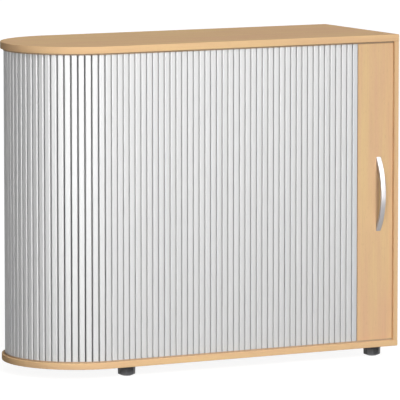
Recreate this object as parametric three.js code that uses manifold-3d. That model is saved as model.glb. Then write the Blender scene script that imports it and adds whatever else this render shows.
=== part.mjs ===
// Office cabinet with a tambour door and one half-round end.
// Millimetres, Z up. It stands on its feet at Z = 0 and faces -Y.
// A curtain of upright plastic slats runs in tracks in the top and the base: along the front,
// round the end and along the back. A wooden door panel with a handle leads it.

import * as THREE from 'three';
import { mergeVertices } from 'three/addons/utils/BufferGeometryUtils.js';
import Module from 'manifold-3d';

const wasm = await Module();
wasm.setup();

// Carcase
const bodyDepth = 400; // front edge to back edge of the top and the base
const straightRun = 851; // from the start of the round end to the outer face of the right side
const bodyHeight = 834; // underside of the base to the top face
const boardThickness = 18; // top and shelf
const baseThickness = 16;
const sideThickness = 13; // right side, partition and door panel
const innerBackThickness = 8;
const outerBackThickness = 4;
const outerBackInset = 0.5; // outer back behind the back edge
const bandThickness = 2; // edging
const innerSetback = 26; // partition and inner back, in from the front and back edges
const seatGap = 0.3; // between pieces that bear on each other
const overrun = 1; // cutters stand past the face that they open

// Curtain
const curtainSetback = 8.5; // board edge to the crown of a slat
const slatPitch = 16.9;
const slatDepth = 13; // crown to the back of the web
const slatGap = 1.6; // between two slats, at the web
const slatShoulder = 3.2; // radius of a slat's two front corners
const slatCrownRise = 0.3;
const webThickness = 0.8;
const parkedSlats = 2; // least number of slats that stay on the straight front
const tailSlats = 3; // slats past the bend, at the back
const stripCount = 20; // moving strips of the curtain

// Tracks
const trackHeight = 8;
const trackWall = 1.2;
const trackPlay = 0.8; // each side of a slat
const topPlay = 1.5; // above a slat or glide, under the upper track's web
const trackLip = 4; // the outer wall stands past the board by this much

// Door panel
const doorWidth = 104.5;
const doorGap = 1.5; // above, below and to the right of the door panel
const tongueThickness = 3;
const tongueLength = 8;
const tongueFromBack = 4; // back of the web to the tongue
const leadHeel = 7; // depth of the lead slat where it meets the panel
const glideLength = 24;
const glideInset = 8; // door panel edge to the glide
const glidePegRadius = 4;
const glidePegLength = 12;
const stopRadius = 5;
const stopFromEnds = 60; // buffer centre to the panel's ends

// Handle
const handleLength = 198;
const handleProjection = 29; // door face to the outermost point
const handleWidth = 13.5;
const handleThickness = 6.2; // at the middle of the bow
const handleEdge = 1.8; // rounding of the bow's long edges
const handleFootLength = 19;
const handleFromLeft = 63; // door panel's left edge to the handle's middle
const handleUnder = 311; // underside of the base to the handle's lower end
const handleScrewSpacing = 176;
const screwRadius = 2;
const screwHeadRadius = 4;
const screwHeadHeight = 2.5;
const screwIntoHandle = 4.5;

// Shelf
const shelfSetback = 30;
const shelfUnder = 407.5; // underside of the base to the underside of the shelf
const pinPlugRadius = 2.5;
const pinPlugLength = 8;
const pinPegRadius = 3.5;
const pinPegLength = 9;
const pinFromFront = 60; // shelf's front and back edges to its pins
const pinSpacing = 32; // between the holes of a row
const spareHoles = 3; // holes above and below the shelf's own, to move it to

// Feet
const footHeight = 29;
const footRadius = 23; // middle to a corner of the eight-sided grip
const footFlare = 1.2; // a foot is this much wider at its top
const soleRise = 4; // the sole slopes up to its rim by this much
const soleRadius = 12; // flat middle of the sole
const footEdge = 1; // rounding between the sole's slope and the side
const footFromFront = 50; // board edge to the foot's middle, front and back
const footFromRight = 50;
const footFromBend = 67; // start of the round end to the left feet
const stemRadius = 4;
const stemLength = 12;
const socketRadius = 9;
const socketLength = 13;
const flangeRadius = 13;
const flangeThickness = 1.5;

// Facets
const bendSteps = 48;
const shoulderSteps = 3;
const bowSteps = 20;
const edgeSteps = 2;
const soleSteps = 2;
const footSides = 8;
const smallSides = 16;
const holeSides = 12;

// Worked out from the sizes above
const endRadius = bodyDepth / 2;
const insideBottom = baseThickness;
const insideTop = bodyHeight - boardThickness;
const sideInner = straightRun - sideThickness;
const channelOut = curtainSetback - trackPlay;
const channelIn = curtainSetback + slatDepth + trackPlay;
const trackOut = channelOut - trackWall;
const trackIn = channelIn + trackWall;
const hingeInset = curtainSetback + slatDepth;
const hingeRadius = endRadius - hingeInset;
const slatBottom = insideBottom - trackHeight + trackWall + seatGap;
const slatTop = insideTop + trackHeight - trackWall - topPlay;
const doorRight = sideInner - doorGap;
const doorLeft = doorRight - doorWidth;
const doorBack = curtainSetback + sideThickness;
const doorBottom = insideBottom + doorGap;
const doorTop = insideTop - doorGap;
const leadLeft = doorLeft - slatPitch;
const slatsPerStrip = Math.max(1, Math.floor((leadLeft / slatPitch - parkedSlats) / stripCount));
const doorTravel = stripCount * slatsPerStrip * slatPitch;
const movingFrom = leadLeft - doorTravel;
const bendRun = Math.PI * hingeRadius;
const staticSlats = Math.ceil((movingFrom + bendRun) / slatPitch) + tailSlats;

// Finishes
const beech = new THREE.MeshStandardMaterial({ color: 0xdcb88c, roughness: 0.55, metalness: 0 });
const beechEdge = new THREE.MeshStandardMaterial({ color: 0xe4bf90, roughness: 0.5, metalness: 0 });
const slatGrey = new THREE.MeshStandardMaterial({ color: 0xdcdddd, roughness: 0.45, metalness: 0 });
const leadGrey = new THREE.MeshStandardMaterial({ color: 0xd8dee4, roughness: 0.4, metalness: 0 });
const satinMetal = new THREE.MeshStandardMaterial({ color: 0xd0d2d4, roughness: 0.3, metalness: 1 });
const steel = new THREE.MeshStandardMaterial({ color: 0xb4b6b8, roughness: 0.35, metalness: 1 });
const blackPlastic = new THREE.MeshStandardMaterial({ color: 0x2a2b2d, roughness: 0.5, metalness: 0 });
const clearRubber = new THREE.MeshStandardMaterial({ color: 0xc8c4bc, roughness: 0.6, metalness: 0 });

// Merges shared corners, drops empty triangles and turns the faces outwards.
function closed(geometry) {
  geometry.deleteAttribute('normal');
  geometry.deleteAttribute('uv');
  const merged = mergeVertices(geometry);
  const corner = [new THREE.Vector3(), new THREE.Vector3(), new THREE.Vector3()];
  const index = [];
  let volume = 0;
  for (let i = 0; i < merged.index.count; i += 3) {
    const at = [0, 1, 2].map((step) => merged.index.getX(i + step));
    if (new Set(at).size === 3) {
      at.forEach((vertex, n) => corner[n].fromBufferAttribute(merged.attributes.position, vertex));
      volume += corner[0].dot(corner[1].cross(corner[2]));
      index.push(...at);
    }
  }
  if (volume < 0) {
    index.reverse();
  }
  merged.setIndex(index);
  merged.computeVertexNormals();
  return merged;
}

function toSolid(geometry) {
  const mesh = closed(geometry);
  const vertProperties = new Float32Array(mesh.attributes.position.array);
  const triVerts = new Uint32Array(mesh.index.array);
  return new wasm.Manifold(new wasm.Mesh({ numProp: 3, vertProperties, triVerts }));
}

function fromSolid(solid) {
  const mesh = solid.getMesh();
  const geometry = new THREE.BufferGeometry();
  geometry.setAttribute('position', new THREE.BufferAttribute(mesh.vertProperties, 3));
  geometry.setIndex(new THREE.BufferAttribute(mesh.triVerts, 1));
  geometry.computeVertexNormals();
  return geometry;
}

function cut(body, cutters) {
  const solid = cutters.reduce((left, cutter) => left.subtract(toSolid(cutter)), toSolid(body));
  return fromSolid(solid);
}

function join(body, others) {
  const solid = others.reduce((sum, other) => sum.add(toSolid(other)), toSolid(body));
  return fromSolid(solid);
}

// A box given by its lowest and highest corners.
function block(low, high) {
  const [x, y, z] = low.map((value, axis) => high[axis] - value);
  const geometry = new THREE.BoxGeometry(x, y, z);
  return geometry.translate(low[0] + x / 2, low[1] + y / 2, low[2] + z / 2);
}

// A plan outline raised from one height to another.
function raised(points, bottom, top, holes = []) {
  const shape = new THREE.Shape(points);
  holes.forEach((hole) => shape.holes.push(new THREE.Path(hole)));
  const geometry = new THREE.ExtrudeGeometry(shape, { depth: top - bottom, bevelEnabled: false });
  return geometry.translate(0, 0, bottom);
}

// A profile of radius and height, turned about an upright axis.
function turned(profile, sides) {
  const points = profile.map(([radius, height]) => new THREE.Vector2(radius, height));
  return new THREE.LatheGeometry(points, sides).rotateX(Math.PI / 2);
}

// A round bar that lies along X, or along Y, between two places.
function barAlongX(radius, from, to, y, z, sides = smallSides) {
  const bar = new THREE.CylinderGeometry(radius, radius, to - from, sides);
  return bar.rotateZ(Math.PI / 2).translate((from + to) / 2, y, z);
}

function barAlongY(radius, from, to, x, z) {
  const bar = new THREE.CylinderGeometry(radius, radius, to - from, smallSides);
  return bar.translate(x, (from + to) / 2, z);
}

function barAlongZ(radius, from, to, x, y) {
  const bar = new THREE.CylinderGeometry(radius, radius, to - from, smallSides);
  return bar.rotateX(Math.PI / 2).translate(x, y, (from + to) / 2);
}

function arc(x, y, radius, from, to, steps) {
  const points = [];
  for (let i = 0; i <= steps; i += 1) {
    const angle = from + ((to - from) * i) / steps;
    points.push(new THREE.Vector2(x + radius * Math.cos(angle), y + radius * Math.sin(angle)));
  }
  return points;
}

// The bend of the round end at a given inset from the board's edge, from the back to the front.
function bend(inset) {
  return arc(0, endRadius, endRadius - inset, Math.PI / 2, Math.PI * 1.5, bendSteps);
}

// The board's outline at a given inset: straight front, right end and back, and the bend.
function boardOutline(inset) {
  const right = straightRun - inset;
  return [
    new THREE.Vector2(right, inset),
    new THREE.Vector2(right, bodyDepth - inset),
    ...bend(inset),
  ];
}

// A channel that follows the front, the bend and the back between two insets.
function channelOutline(out, inner, right) {
  return [
    new THREE.Vector2(right, bodyDepth - out),
    ...bend(out),
    new THREE.Vector2(right, out),
    new THREE.Vector2(right, inner),
    ...bend(inner).reverse(),
    new THREE.Vector2(right, bodyDepth - inner),
  ];
}

const footPlaces = [
  ['front_left', footFromBend, footFromFront],
  ['front_right', straightRun - footFromRight, footFromFront],
  ['back_left', footFromBend, bodyDepth - footFromFront],
  ['back_right', straightRun - footFromRight, bodyDepth - footFromFront],
];

// A board with its groove on the inner face. The track sits in the groove.
function groovedBoard(bottom, top, grooveBottom, grooveTop, bores) {
  const board = raised(boardOutline(bandThickness + seatGap), bottom, top);
  const outline = channelOutline(trackOut - seatGap, trackIn + seatGap, sideInner);
  return cut(board, [raised(outline, grooveBottom, grooveTop), ...bores]);
}

function topPanel() {
  const grooveTop = insideTop + trackHeight + seatGap;
  return groovedBoard(insideTop, bodyHeight, insideTop - overrun, grooveTop, []);
}

function basePanel() {
  const grooveBottom = insideBottom - trackHeight - seatGap;
  const boreTop = socketLength + seatGap;
  const bores = footPlaces.map(([, x, y]) => (
    barAlongZ(socketRadius + seatGap, -overrun, boreTop, x, y)
  ));
  return groovedBoard(0, insideBottom, grooveBottom, insideBottom + overrun, bores);
}

function edging(bottom, top) {
  return raised(boardOutline(0), bottom, top, [boardOutline(bandThickness)]);
}

// A U-shaped plastic track, open towards the cabinet's inside. Its outer wall goes on past the
// board as a lip that hides the slats' ends.
function track(bottom, top, lip, way) {
  const right = sideInner - seatGap;
  const body = raised(channelOutline(trackOut, trackIn, right), bottom, top);
  const wall = raised(channelOutline(trackOut, channelOut, right), ...lip);
  const channel = raised(channelOutline(channelOut, channelIn, right + overrun), ...way);
  return cut(join(body, [wall]), [channel]);
}

function lowerTrack() {
  const bottom = insideBottom - trackHeight;
  const lip = [bottom, insideBottom + trackLip];
  return track(bottom, insideBottom, lip, [bottom + trackWall, insideBottom + overrun]);
}

function upperTrack() {
  const top = insideTop + trackHeight;
  const lip = [insideTop - trackLip, top];
  return track(insideTop, top, lip, [insideTop - overrun, top - trackWall]);
}

// Shelf pins: where they stand, from the front, and the height of their axis.
const shelfFront = shelfSetback;
const shelfBack = bodyDepth - innerSetback - innerBackThickness - seatGap;
const pinHeight = shelfUnder - seatGap - pinPegRadius;
const pinPlaces = [shelfFront + pinFromFront, shelfBack - pinFromFront];

// The two rows of holes for the shelf pins in an upright board, between two places along X.
function pinHoles(from, to) {
  return pinPlaces.flatMap((y) => {
    const row = [];
    for (let step = -spareHoles; step <= spareHoles; step += 1) {
      const z = pinHeight + step * pinSpacing;
      row.push(barAlongX(pinPlugRadius + seatGap, from, to, y, z, holeSides));
    }
    return row;
  });
}

function rightSidePanel() {
  const low = [sideInner, bandThickness + seatGap, insideBottom + seatGap];
  const high = [straightRun, bodyDepth, insideTop - seatGap];
  const end = sideInner + pinPlugLength + seatGap;
  return cut(block(low, high), pinHoles(sideInner - overrun, end));
}

function sideEdging() {
  const low = [sideInner, 0, insideBottom + seatGap];
  return block(low, [straightRun, bandThickness, insideTop - seatGap]);
}

function partitionPanel() {
  const low = [0, innerSetback, insideBottom + seatGap];
  const high = [sideThickness, bodyDepth - innerSetback, insideTop - seatGap];
  const start = sideThickness - pinPlugLength - seatGap;
  return cut(block(low, high), pinHoles(start, sideThickness + overrun));
}

function innerBackPanel() {
  const back = bodyDepth - innerSetback;
  const low = [sideThickness + seatGap, back - innerBackThickness, insideBottom + seatGap];
  return block(low, [sideInner - seatGap, back, insideTop - seatGap]);
}

function outerBackPanel() {
  const back = bodyDepth - outerBackInset;
  const low = [0, back - outerBackThickness, insideBottom + seatGap];
  return block(low, [sideInner - seatGap, back, insideTop - seatGap]);
}

function shelfBoard() {
  const low = [sideThickness + seatGap, shelfFront + bandThickness + seatGap, shelfUnder];
  return block(low, [sideInner - seatGap, shelfBack, shelfUnder + boardThickness]);
}

function shelfEdging() {
  const low = [sideThickness + seatGap, shelfFront, shelfUnder];
  const high = [sideInner - seatGap, shelfFront + bandThickness, shelfUnder + boardThickness];
  return block(low, high);
}

// A steel pin: a plug in the panel's bore and a thicker peg under the shelf. It points along X
// from the panel's face.
function shelfPin(face, direction, y) {
  const profile = [
    [0, -pinPlugLength],
    [pinPlugRadius, -pinPlugLength],
    [pinPlugRadius, seatGap],
    [pinPegRadius, seatGap],
    [pinPegRadius, pinPegLength],
    [0, pinPegLength],
  ];
  const pin = turned(profile, smallSides).rotateY((direction * Math.PI) / 2);
  return closed(pin.translate(face, y, pinHeight));
}

// The hinge line of the curtain at a given run. Zero is where the straight front begins. More
// goes right along the front, and less goes round the end and along the back.
function hingePoint(run) {
  if (run >= 0) {
    return new THREE.Vector2(run, hingeInset);
  }
  if (run >= -bendRun) {
    const turn = -run / hingeRadius;
    const forward = endRadius - hingeRadius * Math.cos(turn);
    return new THREE.Vector2(-hingeRadius * Math.sin(turn), forward);
  }
  return new THREE.Vector2(-run - bendRun, bodyDepth - hingeInset);
}

// The front of one slat: along its chord, and out from the back of its web.
function slatProfile(chord) {
  const left = slatGap / 2;
  const right = chord - slatGap / 2;
  const shoulder = slatDepth - slatCrownRise - slatShoulder;
  return [
    new THREE.Vector2(left, webThickness),
    ...arc(left + slatShoulder, shoulder, slatShoulder, Math.PI, Math.PI / 2, shoulderSteps),
    new THREE.Vector2(chord / 2, slatDepth),
    ...arc(right - slatShoulder, shoulder, slatShoulder, Math.PI / 2, 0, shoulderSteps),
    new THREE.Vector2(right, webThickness),
  ];
}

// Places points given along and out from the chord between two hinges.
function onChord(from, to, points) {
  const along = to.clone().sub(from).normalize();
  const out = new THREE.Vector2(along.y, -along.x);
  return points.map((point) => (
    from.clone().addScaledVector(along, point.x).addScaledVector(out, point.y)
  ));
}

// A length of curtain: slats on one thin web that bends at the hinges between them.
function curtainLength(fromRun, slats) {
  const hinges = [];
  for (let i = 0; i <= slats; i += 1) {
    hinges.push(hingePoint(fromRun + i * slatPitch));
  }
  const lastChord = hinges[slats - 1].distanceTo(hinges[slats]);
  const trim = seatGap / 2;
  const start = [new THREE.Vector2(trim, 0), new THREE.Vector2(trim, webThickness)];
  const stop = [
    new THREE.Vector2(lastChord - trim, webThickness),
    new THREE.Vector2(lastChord - trim, 0),
  ];
  const outline = onChord(hinges[0], hinges[1], start);
  for (let i = 0; i < slats; i += 1) {
    const chord = hinges[i].distanceTo(hinges[i + 1]);
    outline.push(...onChord(hinges[i], hinges[i + 1], slatProfile(chord)));
  }
  outline.push(...onChord(hinges[slats - 1], hinges[slats], stop));
  outline.push(...hinges.slice(1, slats).reverse());
  return closed(raised(outline, slatBottom, slatTop));
}

// The lead slat is clamped to the door panel by a tongue in the panel's left edge.
function leadSlat() {
  const meet = slatPitch - seatGap;
  const tongueOut = tongueFromBack + tongueThickness;
  const front = slatProfile(slatPitch);
  front.pop();
  const outline = [
    new THREE.Vector2(seatGap / 2, 0),
    new THREE.Vector2(seatGap / 2, webThickness),
    ...front,
    new THREE.Vector2(slatPitch - slatGap / 2, leadHeel + seatGap),
    new THREE.Vector2(meet, leadHeel + seatGap),
    new THREE.Vector2(meet, tongueOut),
    new THREE.Vector2(slatPitch + tongueLength, tongueOut),
    new THREE.Vector2(slatPitch + tongueLength, tongueFromBack),
    new THREE.Vector2(meet, tongueFromBack),
    new THREE.Vector2(meet, 0),
  ];
  const placed = onChord(hingePoint(leadLeft), hingePoint(doorLeft), outline);
  return closed(raised(placed, slatBottom, slatTop));
}

// Glides: where they stand along the door panel, and the middle of its thickness.
const glidePlaces = [
  doorLeft + glideInset + glideLength / 2,
  doorRight - glideInset - glideLength / 2,
];
const glideMiddle = curtainSetback + slatDepth / 2;
const handleMiddle = handleUnder + handleLength / 2;
const handleAcross = doorLeft + handleFromLeft;
const handleScrews = [
  handleMiddle - handleScrewSpacing / 2,
  handleMiddle + handleScrewSpacing / 2,
];

function doorPanel() {
  const panel = block([doorLeft, curtainSetback, doorBottom], [doorRight, doorBack, doorTop]);
  const tongueFront = hingeInset - tongueFromBack - tongueThickness - seatGap;
  const tongueBack = hingeInset - tongueFromBack + seatGap;
  const groove = block(
    [doorLeft - overrun, tongueFront, doorBottom - overrun],
    [doorLeft + tongueLength + seatGap, tongueBack, doorTop + overrun],
  );
  const pegBore = glidePegRadius + seatGap;
  const pegDepth = glidePegLength + seatGap;
  const pegBores = glidePlaces.flatMap((x) => [
    barAlongZ(pegBore, doorBottom - overrun, doorBottom + pegDepth, x, glideMiddle),
    barAlongZ(pegBore, doorTop - pegDepth, doorTop + overrun, x, glideMiddle),
  ]);
  const screwBores = handleScrews.map((z) => (
    barAlongY(screwRadius + seatGap, curtainSetback - overrun, doorBack + overrun, handleAcross, z)
  ));
  return cut(panel, [groove, ...pegBores, ...screwBores]);
}

// A plastic glide: a block that runs in the track and a peg in the door panel's edge.
function glide(blockBottom, blockTop, pegFrom, pegTo, x) {
  const low = [x - glideLength / 2, curtainSetback, blockBottom];
  const high = [x + glideLength / 2, curtainSetback + slatDepth, blockTop];
  return join(block(low, high), [barAlongZ(glidePegRadius, pegFrom, pegTo, x, glideMiddle)]);
}

function lowerGlide(x) {
  const top = doorBottom - seatGap;
  return glide(slatBottom, top, top - seatGap, doorBottom + glidePegLength, x);
}

function upperGlide(x) {
  const bottom = doorTop + seatGap;
  return glide(bottom, slatTop, doorTop - glidePegLength, bottom + seatGap, x);
}

// One side of the bow: an arc over a chord along the height, with its rise out from the door.
function bowArc(chord, rise) {
  const radius = (chord * chord / 4 + rise * rise) / (2 * rise);
  const half = Math.asin(chord / 2 / radius);
  return arc(rise - radius, 0, radius, -half, half, bowSteps);
}

function handleBar() {
  const rise = handleProjection - seatGap;
  const inner = bowArc(handleLength - 2 * handleFootLength, rise - handleThickness).reverse();
  const shape = new THREE.Shape([...bowArc(handleLength, rise), ...inner]);
  const bar = new THREE.ExtrudeGeometry(shape, {
    depth: handleWidth - 2 * handleEdge,
    bevelSize: handleEdge,
    bevelThickness: handleEdge,
    bevelOffset: -handleEdge,
    bevelSegments: edgeSteps,
  });
  bar.translate(0, 0, handleEdge);
  const out = new THREE.Vector3(0, -1, 0);
  const up = new THREE.Vector3(0, 0, 1);
  bar.applyMatrix4(new THREE.Matrix4().makeBasis(out, up, out.clone().cross(up)));
  bar.translate(handleAcross + handleWidth / 2, curtainSetback - seatGap, handleMiddle);
  const end = curtainSetback - seatGap - screwIntoHandle - seatGap;
  return cut(bar, handleScrews.map((z) => (
    barAlongY(screwRadius + seatGap, end, curtainSetback + overrun, handleAcross, z)
  )));
}

function handleScrew(z) {
  const profile = [
    [0, curtainSetback - seatGap - screwIntoHandle],
    [screwRadius, curtainSetback - seatGap - screwIntoHandle],
    [screwRadius, doorBack + seatGap],
    [screwHeadRadius, doorBack + seatGap],
    [screwHeadRadius, doorBack + seatGap + screwHeadHeight],
    [0, doorBack + seatGap + screwHeadHeight],
  ];
  return closed(turned(profile, smallSides).rotateX(-Math.PI / 2).translate(handleAcross, 0, z));
}

function doorStop(z) {
  const middle = curtainSetback + sideThickness / 2;
  return closed(barAlongX(stopRadius, doorRight + seatGap, sideInner - seatGap, middle, z));
}

// A threaded socket pressed into the base, with a flange under it.
function footSocket(x, y) {
  const bore = stemRadius + seatGap;
  const profile = [
    [bore, -seatGap - flangeThickness],
    [flangeRadius, -seatGap - flangeThickness],
    [flangeRadius, -seatGap],
    [socketRadius, -seatGap],
    [socketRadius, socketLength],
    [bore, socketLength],
    [bore, -seatGap - flangeThickness],
  ];
  return closed(turned(profile, smallSides).translate(x, y, 0));
}

// A foot: an eight-sided grip with a sloping sole, and the round stem that screws into the socket.
function footPad(x, y) {
  const top = -2 * seatGap - flangeThickness;
  const rim = soleRise + footEdge - footHeight;
  const edge = arc(footRadius - footEdge, rim, footEdge, -Math.PI / 2, 0, soleSteps);
  const profile = [
    [0, -footHeight],
    [soleRadius, -footHeight],
    ...edge.map((point) => [point.x, point.y]),
    [footRadius + footFlare, top],
    [0, top],
  ];
  const grip = turned(profile, footSides).rotateZ(Math.PI / footSides).translate(x, y, 0);
  return join(grip, [barAlongZ(stemRadius, top - overrun, stemLength, x, y)]);
}

function piece(name, geometry, material) {
  const mesh = new THREE.Mesh(geometry, material);
  mesh.name = name;
  return mesh;
}

function numbered(index) {
  return String(index).padStart(2, '0');
}

// The fixed case
const carcase = new THREE.Group();
carcase.add(
  piece('base_panel', basePanel(), beech),
  piece('base_edge_band', edging(0, insideBottom), beechEdge),
  piece('top_panel', topPanel(), beech),
  piece('top_edge_band', edging(insideTop, bodyHeight), beechEdge),
  piece('right_side_panel', rightSidePanel(), beech),
  piece('side_edge_band', sideEdging(), beechEdge),
  piece('partition_panel', partitionPanel(), beech),
  piece('inner_back_panel', innerBackPanel(), beech),
  piece('outer_back_panel', outerBackPanel(), beech),
  piece('shelf_board', shelfBoard(), beech),
  piece('shelf_edge_band', shelfEdging(), beechEdge),
  piece('lower_track', lowerTrack(), slatGrey),
  piece('upper_track', upperTrack(), slatGrey),
  piece('door_stop_lower', doorStop(doorBottom + stopFromEnds), clearRubber),
  piece('door_stop_upper', doorStop(doorTop - stopFromEnds), clearRubber),
);
pinPlaces.forEach((y, index) => {
  const place = index ? 'back' : 'front';
  carcase.add(piece(`shelf_pin_left_${place}`, shelfPin(sideThickness, 1, y), steel));
  carcase.add(piece(`shelf_pin_right_${place}`, shelfPin(sideInner, -1, y), steel));
});

// The curtain: the lengths round the end and the moving strips of the straight front
const curtain = new THREE.Group();
const endLength = curtainLength(movingFrom - staticSlats * slatPitch, staticSlats);
curtain.add(piece('curtain_round_end', endLength, slatGrey));
for (let i = 0; i < stripCount; i += 1) {
  const from = movingFrom + i * slatsPerStrip * slatPitch;
  const strip = curtainLength(from, slatsPerStrip);
  curtain.add(piece(`curtain_strip_${numbered(i + 1)}`, strip, slatGrey));
}

// The door panel and what is fixed to it
const door = new THREE.Group();
door.add(
  piece('door_panel', doorPanel(), beech),
  piece('curtain_lead_slat', leadSlat(), leadGrey),
  piece('handle_bar', handleBar(), satinMetal),
);
['lower', 'upper'].forEach((place, index) => {
  door.add(piece(`handle_screw_${place}`, handleScrew(handleScrews[index]), steel));
});
['left', 'right'].forEach((place, index) => {
  door.add(piece(`door_glide_lower_${place}`, lowerGlide(glidePlaces[index]), blackPlastic));
  door.add(piece(`door_glide_upper_${place}`, upperGlide(glidePlaces[index]), blackPlastic));
});

// The feet
const feet = new THREE.Group();
footPlaces.forEach(([place, x, y]) => {
  feet.add(piece(`foot_socket_${place}`, footSocket(x, y), blackPlastic));
  feet.add(piece(`foot_pad_${place}`, footPad(x, y), blackPlastic));
});

// The origin is on the floor, in the middle of the cabinet's length and of its depth with the
// handle counted in.
const handleProud = handleProjection - curtainSetback;
const cabinet = new THREE.Group();
cabinet.add(carcase, curtain, door, feet);
cabinet.position.set((endRadius - straightRun) / 2, (handleProud - bodyDepth) / 2, footHeight);

export default cabinet;
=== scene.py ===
import math

import bmesh
import bpy
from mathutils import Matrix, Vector


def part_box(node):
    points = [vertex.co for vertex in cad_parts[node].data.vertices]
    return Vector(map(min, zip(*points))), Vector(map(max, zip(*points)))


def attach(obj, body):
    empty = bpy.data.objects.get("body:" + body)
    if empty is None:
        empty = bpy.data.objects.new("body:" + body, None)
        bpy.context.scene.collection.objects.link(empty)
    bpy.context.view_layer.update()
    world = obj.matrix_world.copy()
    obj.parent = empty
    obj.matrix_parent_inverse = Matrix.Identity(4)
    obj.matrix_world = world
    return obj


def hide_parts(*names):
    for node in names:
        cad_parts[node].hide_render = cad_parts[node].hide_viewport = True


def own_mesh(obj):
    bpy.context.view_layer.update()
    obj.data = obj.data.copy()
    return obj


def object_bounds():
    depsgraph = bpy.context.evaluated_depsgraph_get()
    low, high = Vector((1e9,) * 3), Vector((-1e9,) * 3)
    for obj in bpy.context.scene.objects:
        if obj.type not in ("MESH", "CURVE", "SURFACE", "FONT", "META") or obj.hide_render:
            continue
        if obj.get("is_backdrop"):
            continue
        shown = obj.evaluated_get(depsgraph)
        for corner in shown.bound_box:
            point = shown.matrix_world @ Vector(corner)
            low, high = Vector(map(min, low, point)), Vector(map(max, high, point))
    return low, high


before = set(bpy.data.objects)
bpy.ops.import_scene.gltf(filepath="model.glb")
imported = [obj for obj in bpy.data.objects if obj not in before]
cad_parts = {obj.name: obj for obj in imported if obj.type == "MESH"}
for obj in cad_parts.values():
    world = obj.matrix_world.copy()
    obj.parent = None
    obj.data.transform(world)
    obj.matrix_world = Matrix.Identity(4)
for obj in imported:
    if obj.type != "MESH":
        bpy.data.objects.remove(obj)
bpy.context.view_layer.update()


# Base board. Wood-faced chipboard cut to the half-round plan, with a bore for each foot and a
# groove for the curtain's track. A two-millimetre plastic edging in the same beech pattern is
# glued round its rim, and its two arrises are scraped round.

class Wire:
    """A socket of a material's nodes. Sums and products of wires add Math nodes."""

    def __init__(self, tree, socket=None):
        self.tree = tree
        self.socket = socket

    def node(self, kind, settings=None, inputs=None, output=0):
        added = self.tree.nodes.new(kind)
        for name, value in (settings or {}).items():
            setattr(added, name, value)
        for name, value in (inputs or {}).items():
            if isinstance(value, Wire):
                self.tree.links.new(value.socket, added.inputs[name])
            else:
                added.inputs[name].default_value = value
        return Wire(self.tree, added.outputs[output])

    def math(self, operation, first, second):
        return self.node("ShaderNodeMath", {"operation": operation}, {0: first, 1: second})

    def __add__(self, other):
        return self.math("ADD", self, other)

    def __radd__(self, other):
        return self.math("ADD", other, self)

    def __sub__(self, other):
        return self.math("SUBTRACT", self, other)

    def __rsub__(self, other):
        return self.math("SUBTRACT", other, self)

    def __mul__(self, other):
        return self.math("MULTIPLY", self, other)

    def __rmul__(self, other):
        return self.math("MULTIPLY", other, self)

    def noise(self, stretch, detail=3.0, roughness=0.5):
        """A noise over the piece's own coordinates, with so many waves a metre along each axis."""
        place = self.node("ShaderNodeTexCoord", output=3)
        along = self.node("ShaderNodeVectorMath", {"operation": "MULTIPLY"}, {0: place, 1: stretch})
        values = {"Vector": along, "Scale": 1.0, "Detail": detail, "Roughness": roughness}
        return self.node("ShaderNodeTexNoise", inputs=values)

    def between(self, low, high):
        """Nought below low, one above high, and a soft step between them."""
        settings = {"interpolation_type": "SMOOTHSTEP"}
        values = {"Value": self, "From Min": low, "From Max": high}
        return self.node("ShaderNodeMapRange", settings, values)

    def mix(self, first, second):
        """A colour that goes from first to second as this wire goes from nought to one."""
        values = {0: self, 6: first, 7: second}
        return self.node("ShaderNodeMix", {"data_type": "RGBA"}, values, 2)

    def bump(self, height):
        """The surface direction of a relief of this wire, so many metres high."""
        values = {"Strength": 1.0, "Distance": height, "Height": self}
        return self.node("ShaderNodeBump", inputs=values)


def shade(red, green, blue):
    """A colour as a paint card gives it, from 0 to 255, as the shader wants it."""
    def linear(value):
        part = value / 255
        return part / 12.92 if part <= 0.04045 else ((part + 0.055) / 1.055) ** 2.4
    return (linear(red), linear(green), linear(blue), 1.0)


def toned(colour, share, lift=0.0):
    """A paint card's colour made deeper or paler by a share."""
    return tuple(min(1.0, value * share + lift) for value in shade(*colour)[:3]) + (1.0,)


def finish(name, **constants):
    """A new material and its shader, with the values that are the same all over it."""
    material = bpy.data.materials.new(name)
    material.use_nodes = True
    shader = material.node_tree.nodes["Principled BSDF"]
    for socket, value in constants.items():
        shader.inputs[socket.replace("_", " ")].default_value = value
    return material, Wire(material.node_tree), shader


def connect(shader, **wires):
    """Links wires to the inputs of a shader, by the inputs' names."""
    for socket, wire in wires.items():
        wire.tree.links.new(wire.socket, shader.inputs[socket.replace("_", " ")])


def beech(name, along, light, warm, flecks=0.2):
    """Beech-pattern facing. Along is the axis of its grain, 0 to 2, or None round an edging."""
    material, start, shader = finish(name, IOR=1.45, Specular_IOR_Level=0.02)
    cross = [40.0, 40.0, 40.0]
    streak = [420.0, 420.0, 420.0]
    dash = [520.0, 520.0, 520.0]
    for axis in ((0, 1) if along is None else (along,)):
        cross[axis] = 2.2
        streak[axis] = 6.0
        dash[axis] = 70.0
    clouds = start.noise((3.0, 3.0, 3.0), 2.0)
    figure = start.noise(cross, 3.0, 0.55)
    lines = start.noise(streak, 2.0, 0.6)
    marks = start.noise(dash, 1.0).between(0.62, 0.72)
    tone = (figure * 0.7 + clouds * 0.3).between(0.3, 0.7)
    colour = tone.mix(shade(*light), shade(*warm))
    colour = (lines.between(0.45, 0.75) * 0.38).mix(colour, toned(warm, 0.9))
    colour = (marks * flecks).mix(colour, toned(warm, 0.72))
    relief = lines * 0.6 - marks * 0.5
    connect(shader, Base_Color=colour, Roughness=lines * 0.12 + 0.65, Normal=relief.bump(0.00004))
    return material


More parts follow.
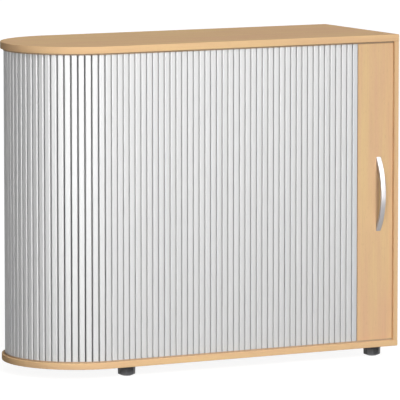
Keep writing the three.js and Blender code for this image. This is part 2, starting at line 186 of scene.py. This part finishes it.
def body_of_rings(name, rings, loop=False, smooth_below=35):
    """A closed mesh through rings of points. Its two ends are faced, or joined to each other."""
    shape = bmesh.new()
    rows = [[shape.verts.new(point) for point in ring] for ring in rings]
    pairs = list(zip(rows, rows[1:]))
    if loop:
        pairs.append((rows[-1], rows[0]))
    else:
        shape.faces.new(rows[0])
        shape.faces.new(rows[-1])
    for first, second in pairs:
        for i in range(len(first)):
            j = (i + 1) % len(first)
            shape.faces.new((first[i], first[j], second[j], second[i]))
    return made(name, shape, smooth_below)


def made(name, shape, smooth_below=35):
    """A piece of a shape, smooth across edges that turn by less than so many degrees."""
    bmesh.ops.recalc_face_normals(shape, faces=shape.faces)
    mesh = bpy.data.meshes.new(name)
    shape.to_mesh(mesh)
    shape.free()
    mesh.shade_smooth()
    mesh.set_sharp_from_angle(angle=math.radians(smooth_below))
    piece = bpy.data.objects.new(name, mesh)
    bpy.context.scene.collection.objects.link(piece)
    return piece


def fit(piece, material, body, slot, *nodes):
    """Gives a piece its material and its body, and hides the CAD nodes that it stands for. The slot
    is not used.
    """
    piece.data.materials.clear()
    piece.data.materials.append(material)
    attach(piece, body)
    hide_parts(*nodes)


def coat(material, *nodes):
    """Gives CAD pieces that are shown as they are their material."""
    for node in nodes:
        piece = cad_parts[node]
        piece.data.materials.clear()
        piece.data.materials.append(material)


MM = 0.001
board_low, board_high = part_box("base_edge_band")
board_depth = board_high.y - board_low.y
end_radius = board_depth / 2
bend_x = board_low.x + end_radius
bend_y = board_low.y + end_radius
bend_steps = 128


def board_outline(inset, height):
    """The half-round plan of the top and the base, so far in from its rim, at a height."""
    radius = end_radius - inset
    points = []
    for i in range(bend_steps + 1):
        turn = math.pi / 2 + math.pi * i / bend_steps
        points.append((bend_x + radius * math.cos(turn), bend_y + radius * math.sin(turn), height))
    right = board_high.x - inset
    return points + [(right, board_low.y + inset, height), (right, board_high.y - inset, height)]


def edge_band(name, node):
    """An edging round the whole plan, with its upper and lower arris rounded."""
    low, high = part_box(node)
    thick, arris, steps = 2.0 * MM, 1.2 * MM, 5
    profile = [(thick, low.z), (thick, high.z)]
    for i in range(steps + 1):
        turn = math.pi / 2 * i / steps
        profile.append((arris * (1 - math.sin(turn)), high.z - arris * (1 - math.cos(turn))))
    for i in range(steps + 1):
        turn = math.pi / 2 * i / steps
        profile.append((arris * (1 - math.cos(turn)), low.z + arris * (1 - math.sin(turn))))
    return body_of_rings(name, [board_outline(inset, z) for inset, z in profile], loop=True)


face_light, face_warm = (230, 197, 147), (225, 183, 146)
edge_light, edge_warm, edge_flecks = (235, 199, 148), (228, 186, 145), 0.12
beech_flat = beech("beech facing along", 0, face_light, face_warm)
beech_upright = beech("beech facing upright", 2, face_light, face_warm)
beech_edging = beech("beech edging", None, edge_light, edge_warm, edge_flecks)
beech_edging_upright = beech("beech edging upright", 2, face_light, edge_warm, edge_flecks)
coat(beech_flat, "base_panel")
fit(edge_band("base_edging", "base_edge_band"), beech_edging, "case", "beech_edging",
    "base_edge_band")


# Feet. Black moulded height adjusters: an eight-sided grip with a sloping sole, on a threaded stem
# that screws into a plastic socket pressed into the base. It is turned by hand to level the case.

grip_flats, corner_share, widest_round = 8, 0.985, 6.0 * MM


def grip_reach(radius, turn):
    """How far a grip's eight flats reach at an angle. Its corners are a little rounded off."""
    half_flat = math.pi / grip_flats
    off = (turn + half_flat) % (2 * half_flat) - half_flat
    return radius * min(math.cos(half_flat) / math.cos(off), corner_share)


def foot_ring(radius, z, x, y, sides=96):
    """A ring of a foot at a height: eight-sided where it is wide, and round at its stem."""
    ring = []
    for i in range(sides):
        turn = 2 * math.pi * i / sides
        reach = grip_reach(radius, turn) if radius > widest_round else radius
        ring.append((x + reach * math.cos(turn), y + reach * math.sin(turn), z))
    return ring


def quarter(radius, height, size, start, steps):
    """A rounding of a turned profile: a quarter circle about a point, from an angle in degrees."""
    points = []
    for i in range(steps + 1):
        turn = math.radians(start + 90 * i / steps)
        points.append((radius + size * math.cos(turn), height + size * math.sin(turn)))
    return points


def moulded(name, colour, grain, roughness):
    """Moulded plastic with a fine spark-eroded texture."""
    material, start, shader = finish(name, IOR=1.3)
    grit = start.noise((grain, grain, grain), 2.0)
    worn = start.noise((40.0, 40.0, 40.0), 3.0)
    tint = (worn.between(0.35, 0.75) * 0.5).mix(shade(*colour), toned(colour, 1.35, 0.004))
    connect(shader, Base_Color=tint, Roughness=worn * 0.16 + (roughness - 0.08),
            Normal=grit.bump(0.00005))
    return material


foot_black = moulded("foot plastic", (72, 73, 76), 900.0, 0.3)
socket_black = moulded("socket plastic", (34, 34, 36), 700.0, 0.5)
stem, stem_above_pad, thread, thread_depth = 4.0 * MM, 14.1 * MM, 1.25 * MM, 0.45 * MM
foot_places = ("front_left", "front_right", "back_left", "back_right")
for foot_place in foot_places:
    low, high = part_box("foot_pad_" + foot_place)
    x, y = (low.x + high.x) / 2, (low.y + high.y) / 2
    pad_top = high.z - stem_above_pad
    profile = [(8.0 * MM, low.z + 0.6 * MM), (9.6 * MM, low.z + 0.6 * MM), (10.2 * MM, low.z),
               (11.8 * MM, low.z), (12.6 * MM, low.z + 0.2 * MM)]
    profile += quarter(22.2 * MM, low.z + 4.9 * MM, 0.8 * MM, -70, 4)
    profile += [(23.6 * MM, pad_top - 1.0 * MM), (23.4 * MM, pad_top - 0.4 * MM),
                (22.8 * MM, pad_top), (8.0 * MM, pad_top), (7.0 * MM, pad_top - 0.6 * MM),
                (stem, pad_top - 0.6 * MM)]
    z = pad_top - 0.3 * MM
    while z < high.z - 1.5 * thread:
        profile += [(stem, z), (stem - thread_depth, z + thread / 2)]
        z += thread
    profile += [(stem - thread_depth, high.z - 0.5 * MM), (stem - 2 * thread_depth, high.z)]
    rings = [foot_ring(radius, z, x, y) for radius, z in profile]
    fit(body_of_rings("height_foot_" + foot_place, rings, smooth_below=18), foot_black,
        "foot_" + foot_place, "black_plastic", "foot_pad_" + foot_place)
coat(socket_black, *("foot_socket_" + foot_place for foot_place in foot_places))


# Right side panel. Upright wood-faced board between the base and the top, with rows of bored
# holes for the shelf pins on its inner face and plastic edging on its front edge.

def eased(name, node, size, shortest=20 * MM, steps=3):
    """A copy of a CAD board with its long arrises rounded off, as a sander leaves them."""
    shape = bmesh.new()
    shape.from_mesh(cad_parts[node].data)
    bmesh.ops.remove_doubles(shape, verts=shape.verts, dist=0.001 * MM)
    bmesh.ops.dissolve_limit(shape, angle_limit=math.radians(1), verts=shape.verts,
                             edges=shape.edges)
    arrises = [edge for edge in shape.edges
               if edge.calc_length() > shortest and edge.calc_face_angle(0) > math.radians(40)]
    bmesh.ops.bevel(shape, geom=arrises, offset=size, segments=steps, profile=0.5,
                    affect="EDGES", clamp_overlap=True)
    return made(name, shape, smooth_below=8)


fit(eased("side_board", "right_side_panel", 0.4 * MM), beech_upright, "case", "beech_board",
    "right_side_panel")
fit(eased("side_edging", "side_edge_band", 0.4 * MM, 10 * MM), beech_edging_upright, "case",
    "beech_edging", "side_edge_band")


# Inside. A partition keeps what is stored clear of the curtain's bend, a thin inner back keeps it
# clear of the curtain's rear run, and one shelf lies on four steel pins pushed into the holes.

fit(eased("partition_board", "partition_panel", 0.4 * MM), beech_upright, "case", "beech_board",
    "partition_panel")
fit(eased("inner_back_board", "inner_back_panel", 0.3 * MM, 5 * MM), beech_upright, "case",
    "beech_board", "inner_back_panel")
fit(eased("shelf", "shelf_board", 0.3 * MM), beech_flat, "case", "beech_board", "shelf_board")
fit(eased("shelf_edging", "shelf_edge_band", 0.8 * MM, 10 * MM), beech_edging, "case",
    "beech_edging", "shelf_edge_band")


def metal(name, colour, along, roughness, metallic=1.0):
    """Metal, bare or lacquered, brushed in one direction."""
    material, start, shader = finish(name, Metallic=metallic, IOR=1.5)
    stretch = [900.0, 900.0, 900.0]
    stretch[along] = 25.0
    brushed = start.noise(stretch, 2.0)
    handled = start.noise((30.0, 30.0, 30.0), 2.0)
    tint = (brushed * 0.6).mix(shade(*colour), toned(colour, 0.9))
    connect(shader, Base_Color=tint, Roughness=handled * 0.1 + brushed * 0.06 + roughness,
            Normal=brushed.bump(0.00001))
    return material


pin_steel = metal("pin steel", (190, 192, 194), 0, 0.25)
coat(pin_steel, "shelf_pin_left_front", "shelf_pin_left_back", "shelf_pin_right_front",
     "shelf_pin_right_back")


# Back. A thin faced board between the base and the top closes the curtain's rear run.

fit(eased("back_board", "outer_back_panel", 0.3 * MM, 3 * MM), beech_upright, "case",
    "beech_board", "outer_back_panel")


# Top board. The same plan, groove and edging as the base, screwed down on the uprights from
# below so that its face stays clean.

coat(beech_flat, "top_panel")
fit(edge_band("top_edging", "top_edge_band"), beech_edging, "case", "beech_edging",
    "top_edge_band")


# Tracks. Plastic channels pressed into the grooves of the base and the top. The slats'
# ends and the door panel's glides run in them, behind a lip that stands past the boards. Their
# brown is partly their own colour and partly painted shade: it is made darker to stand for the
# shadow lines where the curtain and the door panel meet the top and the base.

def extruded(name, colour, roughness, index):
    """Extruded plastic: faint die lines along it and a soft sheen."""
    material, start, shader = finish(name, IOR=index)
    lines = start.noise((620.0, 620.0, 0.1), 2.0)
    clouds = start.noise((5.0, 5.0, 2.0), 2.0)
    tint = (lines * 0.5 + clouds * 0.5).mix(shade(*colour), toned(colour, 0.95))
    connect(shader, Base_Color=tint, Roughness=lines * 0.1 + (roughness - 0.05),
            Normal=lines.bump(0.000002))
    return material


# The brown is partly painted shade, darker to stand for the shadow lines along the curtain's ends.
track_brown_and_shade = extruded("track plastic and painted shade", (180, 153, 123), 0.6, 1.3)
coat(track_brown_and_shade, "lower_track", "upper_track")


# Curtain. Upright extruded slats of pale grey plastic, each with a nearly flat front and round
# shoulders, joined at their roots by a thin web of softer, darker plastic. It runs along the
# front, round the end and on behind the inner back, where it parks when the door is open.

slat_grey = extruded("slat plastic", (198, 198, 198), 0.44, 1.6)
web_grey = extruded("web plastic", (72, 74, 76), 0.6, 1.3)
strip_low, strip_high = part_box("curtain_strip_01")
strip_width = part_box("curtain_strip_02")[0].x - strip_low.x
strip_slats = 2
slat_pitch = strip_width / strip_slats
slat_depth = strip_high.y - strip_low.y
hinge_y = strip_high.y
hinge_radius = bend_y - hinge_y
joint_trim = 0.15 * MM
first_strip_run = strip_low.x - joint_trim - bend_x
slat_gap, shoulder, crown_rise = 1.6 * MM, 3.2 * MM, -0.1 * MM
web, root = 0.8 * MM, 6.0 * MM
shoulder_steps, crown_steps = 7, 8


def hinge(run):
    """The curtain's hinge line. Run counts to the right from where the straight front begins,
    and less than nought goes round the end and along the back."""
    bend_run = math.pi * hinge_radius
    if run >= 0:
        return Vector((bend_x + run, hinge_y))
    if run >= -bend_run:
        turn = -run / hinge_radius
        return Vector((bend_x - hinge_radius * math.sin(turn),
                       bend_y - hinge_radius * math.cos(turn)))
    return Vector((bend_x - run - bend_run, bend_y + hinge_radius))


def slat_front(chord):
    """One slat's front, as points along its chord and out from the back of its web."""
    left, right = slat_gap / 2, chord - slat_gap / 2
    spring = slat_depth - crown_rise - shoulder
    tilt = math.atan2(2 * crown_rise, (right - left) / 2)
    points = [(left, web), (left, root)]
    for i in range(shoulder_steps + 1):
        turn = math.pi - (math.pi / 2 - tilt) * i / shoulder_steps
        across = left + shoulder + shoulder * math.cos(turn)
        points.append((across, spring + shoulder * math.sin(turn)))
    left_half = points[:]
    half = chord / 2 - points[-1][0]
    rise = slat_depth - points[-1][1]
    for i in range(1, crown_steps):
        share = 2 * i / crown_steps - 1
        points.append((chord / 2 + half * share, slat_depth - rise * share * share))
    mirrored = [(chord - along, out) for along, out in left_half[:-1]][::-1]
    return points + mirrored


def on_chord(start, end, points):
    """Points of a slat's plan, laid along the chord between two of the curtain's hinges."""
    along = (end - start).normalized()
    out = Vector((along.y, -along.x))
    return [start + along * a + out * b for a, b in points]


def soften_web(piece, slats):
    """Gives the web and the slats' roots at each groove of a curtain the softer plastic."""
    piece.data.materials.append(web_grey)
    end_faces, groove_faces = 2, 3
    for i in range(slats + 1):
        first = end_faces + i * len(slat_front(slat_pitch))
        for face in range(first, first + groove_faces):
            piece.data.polygons[face].material_index = 1


def curtain(name, first_run, slats):
    """A length of so many slats and their web, from a place along the curtain's run."""
    hinges = [hinge(first_run + i * slat_pitch) for i in range(slats + 1)]
    outline = on_chord(hinges[0], hinges[1], [(joint_trim, 0), (joint_trim, web)])
    for start, end in zip(hinges, hinges[1:]):
        outline += on_chord(start, end, slat_front((end - start).length))
    last = (hinges[-1] - hinges[-2]).length - joint_trim
    outline += on_chord(hinges[-2], hinges[-1], [(last, web), (last, 0)])
    outline += hinges[1:-1][::-1]
    rings = [[(point.x, point.y, z) for point in outline] for z in (strip_low.z, strip_high.z)]
    return body_of_rings(name, rings)


round_slats = 39
round_end = curtain("curtain_round", first_strip_run - round_slats * slat_pitch, round_slats)
fit(round_end, slat_grey, "case", "slat_plastic", "curtain_round_end")
soften_web(round_end, round_slats)

# The slats of the straight front are in pairs, each on a body of its own and with a mesh of its
# own, that gather over the last two slats before the bend as the door opens.
strips = 20
for number in range(1, strips + 1):
    body = f"strip_{number:02d}"
    run = first_strip_run + (number - 1) * strip_width
    pair = curtain(f"slat_pair_{number:02d}", run, strip_slats)
    fit(pair, slat_grey, body, "slat_plastic", "curtain_" + body)
    soften_web(pair, strip_slats)
    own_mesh(pair)


# Lead slat. The last slat is a stiffer extrusion with a tongue that is clamped in a groove in the
# door panel's left edge. Its plastic is a little bluer than the rest.

lead_low, lead_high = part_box("curtain_lead_slat")
lead_grey = extruded("lead slat plastic", (188, 190, 192), 0.44, 1.6)
door_low, door_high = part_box("door_panel")
lead_start = Vector((lead_low.x - joint_trim, hinge_y))
lead_end = Vector((door_low.x, hinge_y))
meet, tongue_out, tongue_in = slat_pitch - 2 * joint_trim, 7.0 * MM, 4.0 * MM
heel, tongue_end = 7.3 * MM, slat_pitch + 8.0 * MM
lead_plan = [(joint_trim, 0), (joint_trim, web)] + slat_front(slat_pitch)[:-1]
lead_plan += [(slat_pitch - slat_gap / 2, heel), (meet, heel), (meet, tongue_out),
              (tongue_end, tongue_out), (tongue_end, tongue_in), (meet, tongue_in), (meet, 0)]
lead_points = on_chord(lead_start, lead_end, lead_plan)
lead_rings = [[(point.x, point.y, z) for point in lead_points] for z in (lead_low.z, lead_high.z)]
fit(body_of_rings("lead_slat", lead_rings), lead_grey, "door", "lead_slat_plastic",
    "curtain_lead_slat")


# Door panel. A narrow upright wood-faced board that leads the curtain, edged all round, with
# black plastic glides let into its ends that run in the tracks. The side panel has two soft
# buffers and a thin beech-coloured lip that it closes against.

fit(eased("door_board", "door_panel", 0.4 * MM, 12 * MM), beech_upright, "door", "beech_board",
    "door_panel")
coat(socket_black, *(f"door_glide_{level}_{hand}" for level in ("lower", "upper")
                     for hand in ("left", "right")))
buffer_rubber = moulded("buffer rubber", (196, 192, 184), 500.0, 0.6)
coat(buffer_rubber, "door_stop_lower", "door_stop_upper")
side_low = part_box("side_edge_band")[0]
lip_front = max(door_low.y, side_low.y) + 0.8 * MM
lip_back, lip_root, lip_edge = lip_front + 6.0 * MM, side_low.x + 0.1 * MM, side_low.x - 1.2 * MM
lip_plan = [(lip_root, lip_front), (lip_root, lip_back), (side_low.x - 0.6 * MM, lip_back),
            (lip_edge, lip_front + 4.0 * MM), (lip_edge, lip_front + 0.4 * MM),
            (side_low.x - 0.8 * MM, lip_front)]
lip_rings = [[(x, y, z) for x, y in lip_plan] for z in (door_low.z, door_high.z)]
closing_lip = body_of_rings("closing_lip", lip_rings, smooth_below=8)
closing_lip.data.materials.append(extruded("closing lip plastic", (230, 200, 163), 0.6, 1.3))
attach(closing_lip, "case")


# Handle. A bow of satin metal, cast and brushed, flat on its two feet and rounded everywhere
# else. Two screws from the door panel's back hold it.

handle_metal = metal("satin metal", (172, 169, 170), 2, 0.24, 0.45)
handle_low, handle_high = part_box("handle_bar")
handle_x = (handle_low.x + handle_high.x) / 2
handle_z = (handle_low.z + handle_high.z) / 2
handle_half = (handle_high.x - handle_low.x) / 2
handle_back = handle_high.y
bow_length = handle_high.z - handle_low.z
bow_rise = handle_high.y - handle_low.y
both_feet, bow_thick, edge_round, edge_steps = 38 * MM, 6.2 * MM, 1.2 * MM, 6


def bow(chord, rise, share):
    """A point of a bow: how far it stands out, and its height from the middle."""
    radius = (chord * chord / 4 + rise * rise) / (2 * rise)
    turn = math.asin(chord / 2 / radius) * share
    return Vector((radius * math.cos(turn) + rise - radius, radius * math.sin(turn)))


def handle_ring(share):
    """The bar's rounded section at a share of the way from the middle to an end."""
    outer = bow(bow_length, bow_rise, share)
    inner = bow(bow_length - both_feet, bow_rise - bow_thick, share)
    middle, half = (outer + inner) / 2, (outer - inner) / 2
    thick = half.length
    corner = min(edge_round, thick * 0.85)
    points = []
    for start, side, face in ((0, 1, 1), (90, -1, 1), (180, -1, -1), (270, 1, -1)):
        for i in range(edge_steps + 1):
            turn = math.radians(start + 90 * i / edge_steps)
            across = side * (handle_half - corner) + corner * math.cos(turn)
            out = face * (thick - corner) + corner * math.sin(turn)
            at = middle + half * (out / thick)
            points.append((handle_x + across, handle_back - at.x, handle_z + at.y))
    return points


bow_steps = 64
handle_rings = [handle_ring(2 * i / bow_steps - 1) for i in range(bow_steps + 1)]
fit(body_of_rings("bow_handle", handle_rings), handle_metal, "door", "handle_metal", "handle_bar")
coat(pin_steel, "handle_screw_lower", "handle_screw_upper")


# Stage. A pale floor that the camera sees as white paper with the cabinet's soft shadow on it, and
# an even dim light from all round. Soft lamps stand at the front left, high in front, overhead and
# behind, and some are seen only in the gloss of the slats and the handle.

def seen_share(start):
    """One for what the camera sees, directly or in a gloss or through glass, and nought for light."""
    path = "ShaderNodeLightPath"
    seen = start.node(path) + start.node(path, output="Is Glossy Ray")
    seen = seen + start.node(path, output="Is Transmission Ray")
    return seen.between(0.0, 1.0)


floor_reach, floor_grey, paper_share, paper_glow = 60.0, 0.4, 0.5, 1.84
plain_white = (1.0, 1.0, 1.0, 1.0)
floor_shape = bmesh.new()
bmesh.ops.create_grid(floor_shape, x_segments=8, y_segments=8, size=floor_reach)
floor = made("floor", floor_shape)
floor_paper = bpy.data.materials.new("floor paper")
floor_paper.use_nodes = True
tree = floor_paper.node_tree
start = Wire(tree)
grey = start.node("ShaderNodeBsdfDiffuse", inputs={"Color": (floor_grey,) * 3 + (1.0,)})
glow = start.node("ShaderNodeEmission", inputs={"Color": plain_white, "Strength": paper_glow})
glowing = seen_share(start) * paper_share
paper = start.node("ShaderNodeMixShader", inputs={0: glowing, 1: grey, 2: glow})
tree.links.new(paper.socket, tree.nodes["Material Output"].inputs["Surface"])
floor.data.materials.append(floor_paper)
floor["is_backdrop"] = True

world = bpy.data.worlds.new("studio")
bpy.context.scene.world = world
world.use_nodes = True
tree = world.node_tree
start = Wire(tree)
dim, white = 0.07, 1.0
strength = seen_share(start) * (white - dim) + dim
tree.nodes["Background"].inputs["Color"].default_value = plain_white
tree.links.new(strength.socket, tree.nodes["Background"].inputs["Strength"])


middle_height = 0.45


def stand(piece, azimuth, elevation, distance):
    """Stands a lamp so far from the cabinet's middle, by its angles there, and aims it there."""
    turn, lift = math.radians(azimuth), math.radians(elevation)
    away = Vector((math.sin(turn) * math.cos(lift), -math.cos(turn) * math.cos(lift),
                   math.sin(lift)))
    piece.location = Vector((0.0, 0.0, middle_height)) + away * distance
    piece.rotation_mode = "QUATERNION"
    piece.rotation_quaternion = (-away).to_track_quat("-Z", "Y")
    bpy.context.scene.collection.objects.link(piece)


def lamp(name, azimuth, elevation, distance, width, height, watts, gloss_only=False):
    """A soft box of a lamp. One that is gloss only gives no diffuse light."""
    light = bpy.data.lights.new(name, "AREA")
    light.shape = "RECTANGLE"
    light.size = width
    light.size_y = height
    light.energy = watts
    piece = bpy.data.objects.new(name, light)
    piece.visible_diffuse = not gloss_only
    piece.visible_camera = False
    stand(piece, azimuth, elevation, distance)


lamp("front lamp", -29.0, 14.0, 3.0, 1.2, 1.2, 30.2)
for number, azimuth in enumerate((-4.0, -32.0, -58.0)):
    lamp(f"left gloss lamp {number}", azimuth, 5.0, 3.0, 1.5, 1.6, 68.0, gloss_only=True)
lamp("right gloss lamp", 32.0, 10.0, 1.8, 1.1, 1.4, 15.0, gloss_only=True)
lamp("high gloss lamp", 28.0, 42.0, 3.0, 2.0, 2.4, 80.0, gloss_only=True)


far_distance = 6.0


def far_lamp(name, azimuth, elevation, spread, strength, in_gloss=True):
    """A lamp as far off as the sun, with its light spread over so many degrees."""
    light = bpy.data.lights.new(name, "SUN")
    light.angle = math.radians(spread)
    light.energy = strength
    piece = bpy.data.objects.new(name, light)
    piece.visible_glossy = in_gloss
    stand(piece, azimuth, elevation, far_distance)


far_lamp("key lamp", 1.0, 34.0, 20.0, 1.85)
far_lamp("top lamp", 0.0, 78.0, 50.0, 0.32)
far_lamp("back lamp", 138.0, 10.0, 30.0, 1.8, in_gloss=False)


# Camera. It stands well off at the front left with a long lens and looks a little down, where a
# fit to the photograph's edges puts it.

camera_data = bpy.data.cameras.new("camera")
camera_data.sensor_width = 36.0
camera_data.lens = 382.6
camera = bpy.data.objects.new("camera", camera_data)
camera.location = (-5.1325, -9.9104, 1.7561)
camera_turn, camera_dip = math.radians(27.5133), math.radians(6.7788)
looks = Vector((math.sin(camera_turn) * math.cos(camera_dip),
                math.cos(camera_turn) * math.cos(camera_dip), -math.sin(camera_dip)))
camera.rotation_mode = "QUATERNION"
camera.rotation_quaternion = looks.to_track_quat("-Z", "Y")
bpy.context.scene.collection.objects.link(camera)
bpy.context.scene.camera = camera
bpy.context.scene.view_settings.view_transform = "Standard"

low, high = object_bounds()
